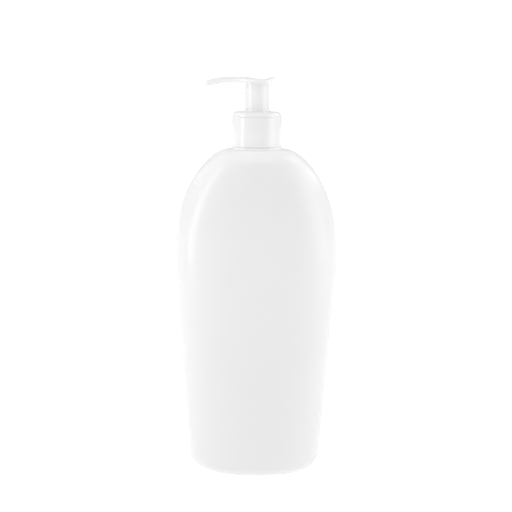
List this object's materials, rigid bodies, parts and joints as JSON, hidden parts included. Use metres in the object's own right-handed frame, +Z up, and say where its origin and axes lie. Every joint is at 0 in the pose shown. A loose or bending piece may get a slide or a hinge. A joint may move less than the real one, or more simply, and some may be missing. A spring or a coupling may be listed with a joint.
{
  "type": "shampoo bottle",
  "caption": "Oval white plastic bottle with a screw-on lotion pump: long side nozzle, smooth collar, dip tube and spring pump inside.",
  "frame": {"origin": "middle of the foot, on the surface the bottle stands on, on the axis of the neck", "axes": "+Z up along the neck and pump, +X along the bottle's width away from the nozzle, -Y out of the front face"},
  "size_m": [0.1078, 0.0622, 0.2629],
  "materials": {
    "white_hdpe": "satin blow-moulded polyethylene",
    "white_pp": "glossy moulded polypropylene",
    "natural_pp": "translucent natural polypropylene",
    "natural_ldpe": "translucent natural polyethylene",
    "gasket_foam": "matt closed-cell foam",
    "spring_steel": "drawn stainless wire",
    "ball_glass": "polished"
  },
  "bodies": {
    "bottle": {"bottle": "white_hdpe"},
    "pump_module": {"pump_housing": "natural_pp", "chaplet": "white_pp", "neck_gasket": "gasket_foam", "dip_tube": "natural_ldpe", "ball_cage": "natural_pp", "return_spring": "spring_steel"},
    "closure": {"closure": "white_pp", "collar_sleeve": "white_pp"},
    "plunger": {"stem": "white_pp", "valve_pin": "natural_pp"},
    "head": {"actuator_head": "white_pp"},
    "piston": {"piston": "natural_ldpe"},
    "inlet_ball": {"inlet_ball": "ball_glass"}
  },
  "joints": [
    {"name": "closure_rise", "type": "slide", "parent": "bottle", "child": "pump_module", "axis": [0, 0, 1], "range_m": [0, 0.009]},
    {"name": "closure_turn", "type": "hinge", "parent": "pump_module", "child": "closure", "pos_m": [0, 0, 0.234], "axis": [0, 0, 1], "range_deg": [0, 766]},
    {"name": "pump_stroke", "type": "slide", "parent": "pump_module", "child": "plunger", "axis": [0, 0, -1], "range_m": [0, 0.0155], "stiffness_N_per_m": 530, "springref_m": -0.015, "deforming": ["return_spring"]},
    {"name": "head_swivel", "type": "hinge", "parent": "plunger", "child": "head", "pos_m": [0, 0, 0.2591], "axis": [0, 0, 1], "continuous": true},
    {"name": "piston_slip", "type": "slide", "parent": "plunger", "child": "piston", "axis": [0, 0, 1], "range_m": [0, 0.0012]},
    {"name": "inlet_ball_lift", "type": "slide", "parent": "pump_module", "child": "inlet_ball", "axis": [0, 0, 1], "range_m": [0, 0.002]}
  ],
  "couplings": [
    {"joint": "closure_turn", "follows": "closure_rise", "rad_per_m": 1484.2}
  ]
}
